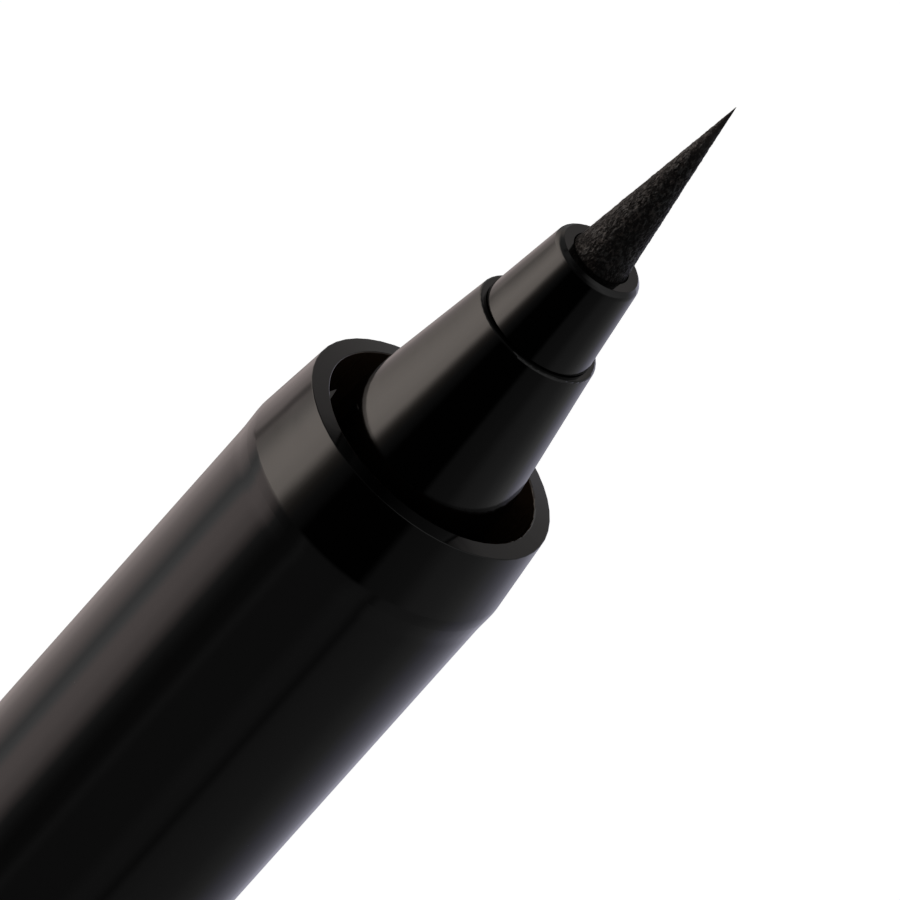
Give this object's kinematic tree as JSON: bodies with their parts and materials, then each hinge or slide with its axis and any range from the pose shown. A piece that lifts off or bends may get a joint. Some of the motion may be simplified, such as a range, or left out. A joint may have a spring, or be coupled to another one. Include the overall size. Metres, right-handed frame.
{
  "type": "brush tip liner pen",
  "caption": "Free-ink liner pen with a tapered fibre brush nib, stepped nose cone and drawn-in barrel, standing on its posted spring-sealed cap.",
  "frame": {"origin": "centre of the flat end of the cap, on the pen's axis, with the cap posted on the pen's tail", "axes": "+Z along the pen's axis from the cap's end to the nib's point; +Y to the side of the barrel away from the viewer who looks at the nib from the front"},
  "size_m": [0.0106, 0.0106, 0.1557],
  "materials": {
    "gloss_black": "high gloss moulded black plastic",
    "nib_fibre": "ground bonded fibre soaked with black ink",
    "sleeve_grey": "satin moulded plastic",
    "natural_plastic": "natural polypropylene, satin",
    "feed_fibre": "bonded fibre rod",
    "steel": "polished steel",
    "seal_rubber": "soft black elastomer"
  },
  "bodies": {
    "cap": {"cap_shell": "gloss_black", "cap_crown": "gloss_black", "cap_inner_sleeve": "natural_plastic", "seal_spring": "steel"},
    "pen": {"barrel": "gloss_black", "front_section": "gloss_black", "nose_cone": "gloss_black", "brush_nib": "nib_fibre", "nib_ferrule": "sleeve_grey", "feed_core": "feed_fibre", "ink_collector": "natural_plastic", "section_o_ring": "seal_rubber", "tank_bulkhead": "natural_plastic", "ink_tank": "natural_plastic", "tank_plug": "natural_plastic", "tank_plug_o_ring": "seal_rubber", "tail_plug": "gloss_black"},
    "ball": {"mixing_ball": "steel"},
    "seal": {"seal_cup": "natural_plastic", "seal_ring": "seal_rubber"}
  },
  "joints": [
    {"name": "cap_pull", "type": "slide", "parent": "cap", "child": "pen", "axis": [0, 0, 1], "range_m": [0, 0.03]},
    {"name": "ball_travel", "type": "slide", "parent": "pen", "child": "ball", "axis": [0, 0, 1], "range_m": [0, 0.0368]},
    {"name": "seal_press", "type": "slide", "parent": "cap", "child": "seal", "axis": [0, 0, -1], "range_m": [0, 0.0018], "stiffness_N_per_m": 150, "springref_m": -0.002, "deforming": ["seal_spring"]}
  ]
}
